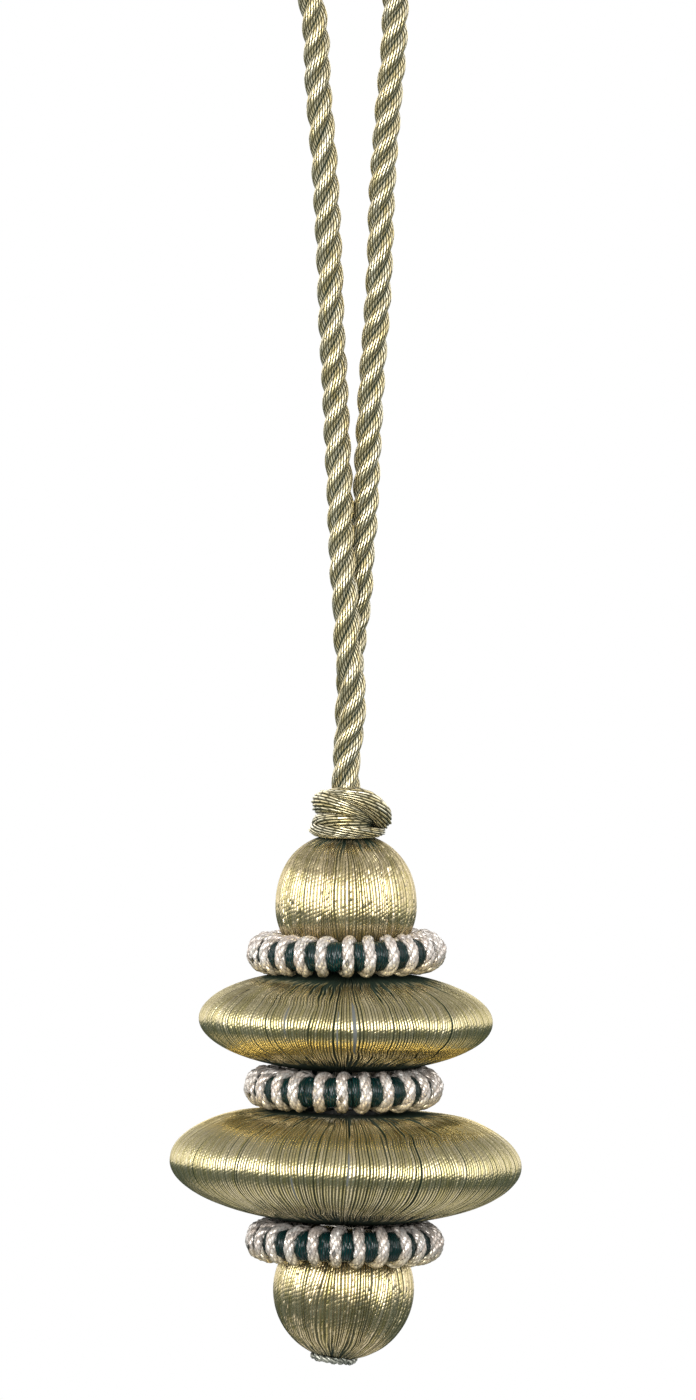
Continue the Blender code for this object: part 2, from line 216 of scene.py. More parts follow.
# Collar knot: for each coil the height of its centreline, its distance out as a share of the knot's
# radii, its half height, its half thickness and how far it is hidden, all at eight places from the
# right round by the back, the left and the front; then its threads and their turns in one round
KNOT_CENTRE = 0.5
KNOT_RADII = (6.1, 7.9)
KNOT_COILS = {
    "over": dict(
        height=(-180.7, -179.6, -178.2, -177.2, -176.4, -175.7, -175.9, -178.2),
        out=(1.04, 1.0, 0.96, 0.8, 0.62, 0.84, 1.0, 1.1),
        tall=(2.7, 2.6, 2.2, 1.8, 1.2, 1.1, 1.7, 2.7),
        thick=(2.2, 2.2, 2.2, 2.0, 1.2, 1.1, 1.7, 2.1),
        hidden=(0, 0, 0, 0, 0, 0, 0, 0),
        threads=22, turns=0,
    ),
    "lobe": dict(
        height=(-181.3, -180.6, -179.4, -178.3, -177.8, -177.4, -178.7, -180.6),
        out=(0.7, 0.85, 0.95, 0.98, 0.88, 0.93, 0.93, 0.8),
        tall=(1.4, 1.8, 2.2, 2.5, 2.6, 2.4, 1.7, 1.3),
        thick=(1.3, 1.6, 2.0, 2.2, 2.2, 2.1, 1.9, 1.5),
        hidden=(0.9, 0, 0, 0, 0, 0, 0, 0.8),
        threads=20, turns=0,
    ),
    "middle": dict(
        height=(-182.4, -182.0, -181.6, -181.4, -181.3, -180.9, -181.4, -182.4),
        out=(0.65, 0.85, 0.95, 1.0, 0.95, 0.99, 0.98, 0.72),
        tall=(1.3, 1.4, 1.5, 1.6, 1.5, 1.5, 1.6, 1.3),
        thick=(1.3, 1.6, 1.8, 1.8, 1.7, 1.7, 1.7, 1.4),
        hidden=(1, 0, 0, 0, 0, 0, 0.1, 1),
        threads=14, turns=1,
    ),
    "lower": dict(
        height=(-183.3, -183.1, -182.9, -182.9, -182.8, -182.9, -183.1, -183.4),
        out=(0.92, 0.98, 1.0, 1.02, 1.04, 1.03, 1.0, 0.97),
        tall=(1.1, 1.2, 1.3, 1.4, 1.5, 1.4, 1.3, 1.1),
        thick=(1.7, 1.8, 1.8, 1.8, 1.8, 1.8, 1.8, 1.7),
        hidden=(0, 0, 0, 0, 0, 0, 0, 0),
        threads=14, turns=-1,
    ),
}
KNOT_SEED = 1
KNOT_STEPS = 120
KNOT_DASHES = 19  # turns of the foil round one coil
KNOT_GROOVE = 0.55  # depth of the gaps, in threads
KNOT_PROUD = 0.03  # in shares of a coil's thickness, as is the next
KNOT_SWELL = 0.05
KNOT_SWELLS = 5  # of a thread in one round

# Balls: the arc is where the winding starts and ends, in degrees off the axis, and the fans are as
# for the discs
BALL_RADIUS = 14.1
BALL_THREADS = 134
BALL_ROWS = 74
BALL_GAP = 0.8  # darkness of a ball's gaps beside a disc's
NECK_POWER = 2.2
BALL_UPPER_TOP = 14.8
BALL_UPPER_BOTTOM = 12.8
BALL_UPPER_FLAT = 12.2
BALL_UPPER_ARC = (8, 162)
BALL_UPPER_FANS = ((7.0, 12.5), (0.0, 0.0))
BALL_UPPER_SEED = 11
BALL_LOWER_END_FLAT = 13.4
BALL_LOWER_LEAN = 8.0
BALL_LOWER_ARC = (29, 162)
BALL_LOWER_FANS = ((0.0, 0.0), (4.5, 12.5))
BALL_LOWER_SEED = 12

# Discs: all the gaps of a fan, upper or lower, run out to its first radius, and a few nearly to its
# second. The painted reflection of the other disc's gold lies between two shares of the way down the
# winding. A slit has the number of its gap, counted from the front, its middle and half length in
# such shares, and its width in threads
DISC_ROWS = 60
DISC_ARC = (14, 166)
SEAT_POWER = 14.0
DISCS = {
    "disc_upper": dict(
        radius=29.4, top=10.3, bottom=10.3, seat=12.36, tilt=1.0, threads=280, seed=13,
        fans=((18.0, 27.0), (19.5, 27.0)), reflection_span=(0.56, 0.86),
        slits=((2, 0.5, 0.2, 1.2), (-3, 0.5, 0.14, 0.3), (-20, 0.45, 0.1, 0.4)),
    ),
    "disc_lower": dict(
        radius=35.2, top=13.0, bottom=12.2, seat=10.4, tilt=1.5, threads=336, seed=14,
        fans=((17.5, 31.0), (20.5, 31.0)), reflection_span=(0.08, 0.3),
        slits=((0, 0.47, 0.1, 0.5), (-17, 0.6, 0.08, 0.5)),
    ),
}

# Gaps of a winding. Luck from 0 to 1 makes some darker and wider: three values are the least of a
# measure, what full luck adds to it, and the power that keeps most luck small
GAP_WIDTH = 0.55  # of a gap at a mould's widest, in threads
GAP_DEPTH = 0.75  # in threads
GAP_DARKNESS_BY_LUCK = (0.6, 0.4, 3)
GAP_WIDTH_BY_LUCK = (0.65, 0.9, 7)
GAP_RANKS = 4  # ranks that are dealt out among as many neighbouring gaps
GAP_LAST = 0.1  # share of the widest radius at which the last gap closes
GAP_RANGE = 0.75  # further share over which the others do
GAP_CLOSING = 0.15  # share of the widest radius that one gap takes to close
POLE_ROOM = 0.25  # for threads at a pole, as a share of the widest, before its power is taken
POLE_SPREAD = 1.9  # the power
FAN_WIDTH = 0.9  # of a fan's gap at the seat, in threads
FAN_TAPER = 3.5
FAN_TIP = 0.35  # width at which a fan's gap starts, as a share of its width at the seat
FAN_POWER = 3  # of the chance by which a fan's gap reaches out, so that few go far
FAN_SHADE = 0.6  # share of a fan's gap that is in shade
FAN_SHADE_FADE = 1.6

# Threads of a winding, in threads unless another unit is given
THREAD_UNEVEN = 0.12
THREAD_UNEVEN_LIMIT = 2  # in standard deviations
THREAD_CROWN = 0.28
THREAD_PROUD = 0.1
WINDING_SWAYS = ((3, 1, 0.8), (7, 2, 0.6), (13, 2, 0.5))  # waves round, half waves down, and size
BEAD_STAGGER = 0.36  # of one thread's foil above the last one's, in turns
BEAD_CHANCE = 0.1  # in turns
# Painted reflection of gold on a winding: how steeply it rises within its band, and the most of it
REFLECTION_STEEPNESS = 1.2
REFLECTION_MOST = 0.55

# Rings
RING_RADIUS = 15.8
RINGS = {
    1: dict(tilt=-0.5, phase=0.0),
    2: dict(tilt=0.4, phase=-1.0),
    3: dict(tilt=1.0, phase=-5.4),
}
SILK_RADIUS = 3.0
SILK_THREADS = 220
SILK_ROWS = 16
SILK_SEED = 20
SILK_GROOVE = 0.09
SILK_PROUD = 0.05
SILK_SLANT = 0.02  # of a thread along the ring, to either side, in radians
SILK_STAGGER = 0.3  # of one thread's foil above the last one's, in turns
SILK_CHANCE = 0.5  # in turns
WRAPS = 24
WRAP_SEED = 30
WRAP_STRANDS = 3
WRAP_BUNCHING = 1.1  # of the turns on the ring's inner side, in radians of one turn
WRAP_WAVES = ((0.012, 7, 1), (0.01, 11, 2))  # uneven spacing: size, waves round, and start by number
WRAP_SEAT = 3.05  # radius of the wrapped cord's centreline about the silk's
WRAP_STRAND_RADIUS = 0.86
WRAP_STRAND_OFFSET = 0.4
WRAP_STRAND_POINTS = 8
WRAP_STRAND_THREADS = 5
WRAP_LAY = 7.8
WRAP_STEPS = 880
WRAP_SWELL = 0.06  # in shares of the strand's radius
WRAP_SWELL_RATE = 2.1  # in radians a millimetre, as is the next
WRAP_TONE_RATE = 0.9
WRAP_TONE_START = 6.0  # the furthest that chance starts the wave of a strand's tone, in radians
# Painted reflection of the gold below, on the underside of a ring's cord: the most of it
WRAP_PAINTED_REFLECTION = 0.8
WRAP_UNDERSIDE = 0.25  # sine of the angle under the ring at which its reflection of gold begins
WRAP_GAP = 0.5

# End tie: the first half of the coil goes down the side of the cup, the other across its floor
TIE_TURNS = 7
TIE_STEPS = 420
TIE_RADIUS = 4.3
TIE_DROP = 0.4
TIE_SIDE = (1.0, 0.45)  # how far the side draws in, and how deep it goes
TIE_FLOOR = 2.8  # how far the floor draws in
TIE_WAVES = ((0.1, 5.3, 0.0), (0.08, 8.7, 1.0))  # size, rate by the angle round, and start
TIE_PLIES = 2
TIE_PLY_RADIUS = 0.34
TIE_PLY_OFFSET = 0.28
TIE_PLY_POINTS = 9
TIE_PLY_THREADS = 3
TIE_LAY = 3.1
TIE_TONE_RATE = 1.3  # in radians a millimetre
TIE_GAP = 0.6


def unit(vectors):
    """Each vector divided by its length."""
    return vectors / np.linalg.norm(vectors, axis=-1, keepdims=True)


def wave_sum(at, waves):
    """The sum of sine waves, each of a size, a rate and a start."""
    return sum(size * np.sin(rate * at + start) for size, rate, start in waves)


def tilted(points, centre, tilt):
    """The points turned about Y, right side down by tilt, and moved to the centre."""
    lean = math.radians(tilt)
    x, y, z = points[..., 0], points[..., 1], points[..., 2]
    along = x * math.cos(lean) + z * math.sin(lean)
    up = z * math.cos(lean) - x * math.sin(lean)
    return centre + np.stack([along, y, up], axis=-1)


def middle_of(node):
    """The centre of a node's box, in millimetres."""
    low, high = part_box(node)
    return np.array((low + high) / 2) / MM


def distance_along(curve):
    """The distance along a curve of each of its points."""
    return np.concatenate([[0], np.cumsum(np.linalg.norm(np.diff(curve, axis=0), axis=1))])


def across_path(centre, guide):
    """At each point of a path the direction across it that is nearest the guide, and the other one."""
    forward = unit(np.gradient(centre, axis=0))
    side = unit(guide - (forward @ guide)[:, None] * forward)
    return side, np.cross(forward, side)


def placed(name, data):
    """A new object in the scene."""
    item = bpy.data.objects.new(name, data)
    bpy.context.scene.collection.objects.link(item)
    return item


# Meshes


def signed_volume(points, quads):
    """Six times the volume inside the quads: positive where they face outwards."""
    a, b, c, d = (points[quads[:, k]] for k in range(4))
    return np.einsum("ij,ij->", a, np.cross(b, c) + np.cross(c, d))


def grid_faces(rows, columns, loop):
    """The quads of a grid whose columns close round, as vertex numbers and as (row, column) corners."""
    i, j = np.meshgrid(np.arange(rows if loop else rows - 1), np.arange(columns), indexing="ij")
    i, j = i.ravel(), j.ravel()
    corners = np.stack([np.stack([i, i, i + 1, i + 1], 1), np.stack([j, j + 1, j + 1, j], 1)], 2)
    quads = (corners[..., 0] % rows) * columns + corners[..., 1] % columns
    return quads, corners


def build(name, grids, material, replaced):
    """One mesh object from several grids of points in millimetres, each with its UV map and marks.

    A grid's columns close round. Its rows close too where it is a loop, and elsewhere one flat face
    ends it. Faces are turned outwards by the sign of the volume that they enclose.
    """
    points, corners, starts, uvs = [], [], [], []
    marks = {"tone": [], "gap": [], "bare": [], "shade": [], "painted_reflection": []}
    base = used = 0
    for grid in grids:
        rows, columns, _ = grid["points"].shape
        flat = grid["points"].reshape(-1, 3)
        quads, places = grid_faces(rows, columns, grid["loop"])
        uv = grid["uv"][places[..., 0], places[..., 1]]
        flip = signed_volume(flat, quads) < 0
        if flip:
            quads, uv = quads[:, ::-1], uv[:, ::-1]
        faces = [quads.ravel()]
        starts.append(used + 4 * np.arange(len(quads)))
        used += quads.size
        face_uvs = [uv.reshape(-1, 2)]
        if not grid["loop"]:
            for row, backwards in ((0, not flip), (rows - 1, flip)):
                cap = row * columns + np.arange(columns)
                cap_uv = grid["uv"][row, :columns]
                faces.append(cap[::-1] if backwards else cap)
                face_uvs.append(cap_uv[::-1] if backwards else cap_uv)
                starts.append([used])
                used += columns
        points.append(flat)
        corners.append(np.concatenate(faces) + base)
        uvs.append(np.concatenate(face_uvs))
        base += len(flat)
        for mark, values in marks.items():
            values.append(np.broadcast_to(grid.get(mark, 0.0), (rows, columns)).ravel())
    mesh = bpy.data.meshes.new(name)
    mesh.vertices.add(base)
    mesh.vertices.foreach_set("co", (np.concatenate(points) * MM).astype(np.float32).ravel())
    mesh.loops.add(used)
    mesh.loops.foreach_set("vertex_index", np.concatenate(corners).astype(np.int32))
    starts = np.concatenate(starts).astype(np.int32)
    mesh.polygons.add(len(starts))
    mesh.polygons.foreach_set("loop_start", starts)
    mesh.update(calc_edges=True)
    mesh.shade_smooth()
    layer = mesh.uv_layers.new(name="threads")
    layer.data.foreach_set("uv", np.concatenate(uvs).astype(np.float32).ravel())
    for mark, values in marks.items():
        attribute = mesh.attributes.new(mark, "FLOAT", "POINT")
        attribute.data.foreach_set("value", np.concatenate(values).astype(np.float32))
    mesh.materials.append(material)
    piece = placed(name, mesh)
    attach(piece, "root")
    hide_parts(*replaced)
    return piece


def ridged_columns(threads):
    """The columns of ridged threads: their numbers, the thread of each, and one where it is in a gap."""
    column = np.arange(threads * RIDGE_POINTS)
    return column, column // RIDGE_POINTS, (column % RIDGE_POINTS == 0).astype(float)


def thread_map(threads, columns, turns):
    """A UV map that counts the threads evenly across the columns, and takes the foil's turns along."""
    across = np.arange(columns + 1) * threads / columns
    return np.stack(np.broadcast_arrays(across[None], turns), axis=2)


# Materials


def add_node(tree, kind, inputs=None, **settings):
    """A shader node with its settings, its inputs set to numbers or linked to other nodes' outputs."""
    node = tree.nodes.new(kind)
    for key, value in settings.items():
        setattr(node, key, value)
    for key, value in (inputs or {}).items():
        if isinstance(value, bpy.types.NodeSocket):
            tree.links.new(value, node.inputs[key])
        else:
            node.inputs[key].default_value = value
    return node


def mixed(tree, share, first, second):
    """The colour between first and second at the share."""
    node = tree.nodes.new("ShaderNodeMix")
    node.data_type = "RGBA"
    for name, value in (("Factor_Float", share), ("A_Color", first), ("B_Color", second)):
        socket = next(s for s in node.inputs if s.identifier == name)
        if isinstance(value, bpy.types.NodeSocket):
            tree.links.new(value, socket)
        else:
            socket.default_value = value
    return next(s for s in node.outputs if s.identifier == "Result_Color")


def maths(tree, operation, *values):
    """The result of one sum on numbers or outputs."""
    return add_node(tree, "ShaderNodeMath", dict(enumerate(values)), operation=operation).outputs[0]


def vector_maths(tree, operation, *values, **named):
    """The result of one sum on vectors."""
    inputs = {**dict(enumerate(values)), **named}
    return add_node(tree, "ShaderNodeVectorMath", inputs, operation=operation).outputs[0]


def mark_value(tree, name):
    """A mark that the mesh has at each of its points."""
    node = add_node(tree, "ShaderNodeAttribute", attribute_name=name, attribute_type="GEOMETRY")
    return node.outputs["Fac"]


def off_middle(tree, share):
    """How far a share is off the middle of its range from 0 to 1: 0 there, and 1 at both ends."""
    doubled = maths(tree, "MULTIPLY", share, 2.0)
    return maths(tree, "ABSOLUTE", maths(tree, "SUBTRACT", doubled, 1.0))


def thread_material(
    name, dark, light, gap_colour, metallic, roughness, specular, glitter, facet, slant, bulge, nick,
    speckle, gap_from,
):
    """Thread wound with foil, which glitters: dark in the gaps, and lighter or darker from thread to thread.

    The UV map counts threads across, with a gap at each whole number, and turns of the foil along. Each
    thread is cut by slanted lines into facets. Each facet is humped like a parabola, and its normal is
    tilted by chance, mostly only a little. Where pieces meet, ambient occlusion brings the shade.
    """
    material = bpy.data.materials.new(name)
    material.use_nodes = True
    tree = material.node_tree
    shader = tree.nodes["Principled BSDF"]
    shader.inputs["Specular IOR Level"].default_value = specular
    uv = add_node(tree, "ShaderNodeUVMap", uv_map="threads").outputs["UV"]
    across, along, _ = add_node(tree, "ShaderNodeSeparateXYZ", {0: uv}).outputs
    shade = mark_value(tree, "shade")

    number = maths(tree, "FLOOR", across)
    inside = maths(tree, "SUBTRACT", across, number)
    turn = maths(tree, "ADD", maths(tree, "MULTIPLY", along, facet), maths(tree, "MULTIPLY", inside, slant))
    cell = add_node(tree, "ShaderNodeCombineXYZ", {0: number, 1: maths(tree, "FLOOR", turn)}).outputs[0]
    chance = add_node(tree, "ShaderNodeTexWhiteNoise", {"Vector": cell}, noise_dimensions="2D").outputs
    amount = maths(tree, "MULTIPLY", maths(tree, "POWER", chance["Value"], GLITTER_POWER), glitter)
    tilt = vector_maths(tree, "SUBTRACT", chance["Color"], (0.5, 0.5, 0.5))
    tilt = vector_maths(tree, "SCALE", tilt, Scale=amount)
    end = off_middle(tree, maths(tree, "FRACT", turn))
    hump = maths(tree, "SUBTRACT", 1.0, maths(tree, "POWER", end, 2.0))
    humped = add_node(tree, "ShaderNodeBump", {"Height": hump, "Strength": 1.0, "Distance": bulge})
    normal = vector_maths(tree, "NORMALIZE", vector_maths(tree, "ADD", humped.outputs[0], tilt))
    tree.links.new(normal, shader.inputs["Normal"])

    place = add_node(tree, "ShaderNodeTexCoord").outputs["Object"]
    patches = add_node(
        tree, "ShaderNodeTexNoise", {"Vector": place, "Scale": PATCH_SCALE, "Detail": PATCH_DETAIL}
    ).outputs["Fac"]
    tone = maths(tree, "MULTIPLY", mark_value(tree, "tone"), TONE_BY_THREAD)
    tone = maths(tree, "ADD", tone, maths(tree, "MULTIPLY", patches, TONE_BY_PATCH))
    tone = maths(tree, "ADD", tone, maths(tree, "MULTIPLY", chance["Value"], speckle))
    colour = mixed(tree, tone, (*dark, 1), (*light, 1))
    # Painted reflection of gold, mixed into the colour by its mark
    colour = mixed(tree, mark_value(tree, "painted_reflection"), colour, (*PAINTED_REFLECTION_COLOUR, 1))

    groove = add_node(
        tree, "ShaderNodeMapRange",
        {"Value": off_middle(tree, inside), "From Min": gap_from, "From Max": gap_from + GAP_SOFTNESS},
        interpolation_type="SMOOTHSTEP",
    ).outputs[0]
    gap = maths(tree, "MULTIPLY", groove, mark_value(tree, "gap"))
    pinch = add_node(
        tree, "ShaderNodeMapRange",
        {"Value": end, "From Min": NICK_EDGES[0], "From Max": NICK_EDGES[1], "To Max": nick},
    ).outputs[0]
    colour = mixed(tree, maths(tree, "MAXIMUM", gap, pinch), colour, (*gap_colour, 1))
    bare = maths(tree, "MULTIPLY", groove, mark_value(tree, "bare"))
    colour = mixed(tree, bare, colour, (*BARE_COLOUR, 1))
    nearby = add_node(
        tree, "ShaderNodeAmbientOcclusion", {"Distance": SHADE_REACH}, samples=SHADE_SAMPLES
    ).outputs["AO"]
    colour = mixed(tree, maths(tree, "POWER", nearby, SHADE_POWER), (*SHADE_COLOUR, 1), colour)
    colour = mixed(tree, shade, colour, (*SHADE_COLOUR, 1))
    tree.links.new(colour, shader.inputs["Base Color"])

    if metallic:
        dark_gap = maths(tree, "MULTIPLY", gap, GAP_DULLNESS)
        plain = maths(tree, "MAXIMUM", maths(tree, "MAXIMUM", bare, shade), dark_gap)
        foil = maths(tree, "SUBTRACT", 1.0, plain)
        tree.links.new(maths(tree, "MULTIPLY", foil, metallic), shader.inputs["Metallic"])
    dull = maths(tree, "MULTIPLY", maths(tree, "MAXIMUM", gap, shade), DULL_ROUGHNESS)
    tree.links.new(maths(tree, "ADD", roughness, dull), shader.inputs["Roughness"])
    return material


def floor_material():
    """A pale matt floor that fades out between two radii, so that it has no edge."""
    material = bpy.data.materials.new("pale_floor")
    material.use_nodes = True
    tree = material.node_tree
    shader = tree.nodes["Principled BSDF"]
    shader.inputs["Base Color"].default_value = (*FLOOR_COLOUR, 1)
    shader.inputs["Roughness"].default_value = FLOOR_ROUGHNESS
    place = add_node(tree, "ShaderNodeTexCoord").outputs["Object"]
    flat = vector_maths(tree, "MULTIPLY", place, (1, 1, 0))
    reach = add_node(tree, "ShaderNodeVectorMath", {0: flat}, operation="LENGTH").outputs["Value"]
    fade = add_node(
        tree, "ShaderNodeMapRange", {"Value": reach, "From Min": FLOOR_FADE[0], "From Max": FLOOR_FADE[1]}
    ).outputs[0]
    clear = add_node(tree, "ShaderNodeBsdfTransparent").outputs[0]
    mix = add_node(tree, "ShaderNodeMixShader", {0: fade, 1: shader.outputs[0], 2: clear}).outputs[0]
    tree.links.new(mix, tree.nodes["Material Output"].inputs["Surface"])
    return material


# Cord and knot


def smooth_route(points, samples):
    """A cubic curve through the points, whose slope at each is that of the chord of its neighbours."""
    points = np.asarray(points, float)
    span = np.linalg.norm(np.diff(points, axis=0), axis=1)
    at = np.concatenate([[0], np.cumsum(span)])
    slope = np.gradient(points, at, axis=0)
    u = np.linspace(0, 1, samples, endpoint=False)[None, :, None]
    start, end = points[:-1, None], points[1:, None]
    leave, arrive = slope[:-1, None] * span[:, None, None], slope[1:, None] * span[:, None, None]
    curve = (
        (2 * u**3 - 3 * u**2 + 1) * start
        + (u**3 - 2 * u**2 + u) * leave
        + (3 * u**2 - 2 * u**3) * end
        + (u**3 - u**2) * arrive
    )
    return np.vstack([curve.reshape(-1, 3), points[-1:]])


def even_steps(curve, step):
    """The curve read again at nearly equal steps, and the distance along it of each point."""
    along = distance_along(curve)
    at = np.linspace(0, along[-1], round(along[-1] / step) + 1)
    return np.stack([np.interp(at, along, curve[:, i]) for i in range(3)], axis=1), at


def strand(centre, side, other, turn, offset, radius, angles, ridge=0.0):
    """One strand of a rope: a helix of the given offset round the centreline, thickened to a tube.

    At each step the helix stands at the angle turn from the side. The tube's section is a circle in
    the plane across the helix, read at the angles given, and scaled by one plus the ridge.
    """
    out = np.cos(turn)[:, None] * side + np.sin(turn)[:, None] * other
    line = centre + offset * out
    along = unit(np.gradient(line, axis=0))
    out = unit(out - np.sum(out * along, axis=1, keepdims=True) * along)
    cross = np.cross(along, out)
    reach = radius * (1 + ridge)
    return (
        line[:, None]
        + (reach * np.cos(angles))[..., None] * out[:, None]
        + (reach * np.sin(angles))[..., None] * cross[:, None]
    )


def twisted_cord(material):
    """The loop's rope: three strands turn about the route, and each strand's threads turn back.

    The threads so run almost along the rope, as in the real one. The strands' turn sways in two long
    waves. A strand swells in a wave of its own, and each of its threads stands proud by chance and
    waves along. A strand is in shade where its section turns away from the rope's outside.
    """
    centre, along = even_steps(smooth_route(CORD_ROUTE_MM, ROUTE_SAMPLES), CORD_STEP)
    side, other = across_path(centre, np.array([0, 1.0, 0]))
    column, thread, gap = ridged_columns(STRAND_THREADS)
    columns = len(column)
    back = (along * STRAND_TURN)[:, None]
    angles = column[None] * math.tau / columns + back
    shade = np.clip((SEAM_START - np.cos(angles)) / SEAM_FADE, 0, SEAM_SHADE)
    beads = np.arange(columns + 1) * STRAND_BEADS / columns + back * STRAND_BEADS / math.tau
    uv = thread_map(STRAND_THREADS, columns, beads)
    rng = np.random.default_rng(CORD_SEED)
    grids = []
    for k in range(CORD_STRANDS):
        turn = along * math.tau / CORD_LAY + wave_sum(along, CORD_SWAYS) + k * math.tau / CORD_STRANDS
        swell = STRAND_SWELL * np.sin(along / SWELL_LENGTH + 2 * k)[:, None]
        proud = STRAND_PROUD * rng.normal(0, 1, STRAND_THREADS)[thread]
        proud = proud * np.sin(along / PROUD_LENGTH + k)[:, None]
        ridge = swell + proud - STRAND_GROOVE * gap
        points = strand(centre, side, other, turn, STRAND_OFFSET, STRAND_RADIUS, angles, ridge)
        tone = rng.random(STRAND_THREADS)[thread]
        grids.append(dict(points=points, uv=uv, loop=False, tone=tone, gap=1.0, shade=shade))
    cord = build("twisted_cord", grids, material, ["hanging_cord"])
    return cord


def round_values(values, angle):
    """The smoothest periodic curve through evenly spaced values: the sum of their Fourier waves."""
    waves = np.fft.rfft(values) / len(values)
    order = np.arange(len(waves))
    weight = np.where((order == 0) | (order == len(values) / 2), 1, 2)
    return np.real(np.exp(1j * np.outer(angle, order)) @ (waves * weight))


def knot_coil(height, out, tall, thick, hidden, threads, turns):
    """One coil of the knot: a closed path round both legs, thickened to an oval ridged by its threads.

    The path's height and distance and the oval's half height and thickness are curves through their
    eight values. The threads turn about the path a whole number of times in one round. Each stands
    proud by chance, and swells and thins in a wave. Where the coil is hidden, it is in shade.
    """
    angle = np.arange(KNOT_STEPS) * math.tau / KNOT_STEPS
    column, thread, gap = ridged_columns(threads)
    columns = len(column)
    around = column[None] * math.tau / columns + turns * angle[:, None]
    rng = np.random.default_rng(KNOT_SEED + threads)
    phase = (rng.random(threads) * math.tau)[thread]
    proud = KNOT_PROUD * rng.normal(0, 1, threads)[thread]
    swell = KNOT_SWELL * np.sin(KNOT_SWELLS * angle[:, None] + phase)
    reach = 1 - KNOT_GROOVE * gap * math.tau / threads + proud + swell
    away = round_values(out, angle)
    x, y = KNOT_RADII[0] * away * np.cos(angle), KNOT_RADII[1] * away * np.sin(angle)
    outward = unit(np.stack([np.cos(angle) / KNOT_RADII[0], np.sin(angle) / KNOT_RADII[1]], axis=1))
    deep = round_values(thick, angle)[:, None] * np.cos(around) * reach
    rise = round_values(tall, angle)[:, None] * np.sin(around) * reach
    points = np.stack(
        [
            KNOT_CENTRE + x[:, None] + outward[:, :1] * deep,
            y[:, None] + outward[:, 1:] * deep,
            round_values(height, angle)[:, None] + rise,
        ],
        axis=2,
    )
    share = np.arange(KNOT_STEPS + 1)[:, None] / KNOT_STEPS
    dashes = share * KNOT_DASHES + rng.random(threads)[np.append(thread, 0)] * KNOT_DASHES
    uv = thread_map(threads, columns, dashes)
    tone = rng.random(threads)[thread]
    shade = np.clip(round_values(hidden, angle), 0, 1)[:, None]
    return dict(points=points, uv=uv, loop=True, tone=tone, gap=1.0, shade=shade)


def collar_knot(material):
    """The knot's four coils, one on another."""
    grids = [knot_coil(**coil) for coil in KNOT_COILS.values()]
    return build("collar_knot_coils", grids, material, ["collar_knot"])


# Wound moulds


def by_luck(luck, least, more, power):
    """The least of a measure, and more by the luck raised to a power."""
    return least + more * luck**power


def winding_gaps(across, threads, fans, rng):
    """How dark each gap of a winding is, how wide in threads, and how far in shade, row by row.

    Each gap has a rank by chance, and it stays open where the mould is wide enough for its rank, so
    that towards the poles fewer and wider gaps are left between bundles of threads. At each end a fan
    of wedge-shaped gaps runs out, from all of them at its first radius to a few at its second.
    """
    deals = np.tile(np.arange(GAP_RANKS), (math.ceil(threads / GAP_RANKS), 1))
    dealt = rng.permuted(deals, axis=1).ravel()[:threads]
    rank = (dealt + rng.random(threads)) / GAP_RANKS
    near = (across / across.max())[:, None]
    is_open = np.clip((near - GAP_LAST - GAP_RANGE * rank) / GAP_CLOSING, 0, 1)
    luck = rng.random(threads)
    darkness = is_open * by_luck(luck, *GAP_DARKNESS_BY_LUCK)
    room = (POLE_ROOM + (1 - POLE_ROOM) * near) ** POLE_SPREAD
    width = GAP_WIDTH * is_open * by_luck(luck, *GAP_WIDTH_BY_LUCK) / room
    shade = np.zeros(width.shape)
    upper = np.arange(len(across)) <= np.argmax(across)
    for (inner, outer), side in zip(fans, (upper, ~upper)):
        reach = inner + (outer - inner) * rng.random(threads) ** FAN_POWER
        within = reach - across[:, None]
        fan = np.clip(within / FAN_TAPER + FAN_TIP * (within > 0), 0, 1) * side[:, None]
        width += FAN_WIDTH * fan
        darkness = np.maximum(darkness, fan)
        shaded = inner + FAN_SHADE * (reach - inner) - across[:, None]
        shade += np.clip(shaded / FAN_SHADE_FADE, 0, 1) * side[:, None]
    return darkness, width, shade


def slit_lenses(slits, rows, threads):
    """The width that slits add to their gaps, and one where a slit lays the mould bare, row by row.

    A slit is as wide along the rows as half an ellipse is high.
    """
    row = np.linspace(0, 1, rows)
    width = np.zeros((rows, threads))
    bare = np.zeros((rows, threads))
    for number, middle, half_length, widest in slits:
        lens = np.sqrt(np.clip(1 - ((row - middle) / half_length) ** 2, 0, 1))
        width[:, number % threads] = widest * lens
        bare[:, number % threads] = lens > 0
    return width, bare


def thread_places(width, rng):
    """The angle round the mould of each thread's four points: mid gap, start, crest and end.

    In each row the threads and the gaps before them share the round by their widths, and a few long
    waves by chance then sway them to either side.
    """
    rows, threads = width.shape
    thick = rng.normal(0, 1, threads).clip(-THREAD_UNEVEN_LIMIT, THREAD_UNEVEN_LIMIT)
    thick = 1 + THREAD_UNEVEN * thick
    end = np.cumsum(width + thick, axis=1)
    start = end - thick
    places = np.stack([start - width / 2, start, start + thick / 2, start + thick], axis=2)
    azimuth = places.reshape(rows, -1) / end[:, -1:] * math.tau - math.pi / 2
    even = np.arange(azimuth.shape[1]) * math.tau / azimuth.shape[1]
    row = np.linspace(0, 1, rows)[:, None]
    sway = np.zeros(azimuth.shape)
    for waves, half_waves, size in WINDING_SWAYS:
        shift, rise = rng.random(2) * math.tau
        sway += size * np.sin(waves * even + shift) * np.sin(row * math.pi * half_waves + rise)
    return azimuth + sway * math.tau / threads


def reflection_band(reflection_span, rows):
    """The painted reflection of gold in each row: a parabola between two shares of the rows, cut off at its
    most.
    """
    row = np.linspace(0, 1, rows)[:, None]
    middle, half = (reflection_span[0] + reflection_span[1]) / 2, (reflection_span[1] - reflection_span[0]) / 2
    return np.clip(REFLECTION_STEEPNESS - ((row - middle) / half) ** 2 * REFLECTION_STEEPNESS, 0, REFLECTION_MOST)


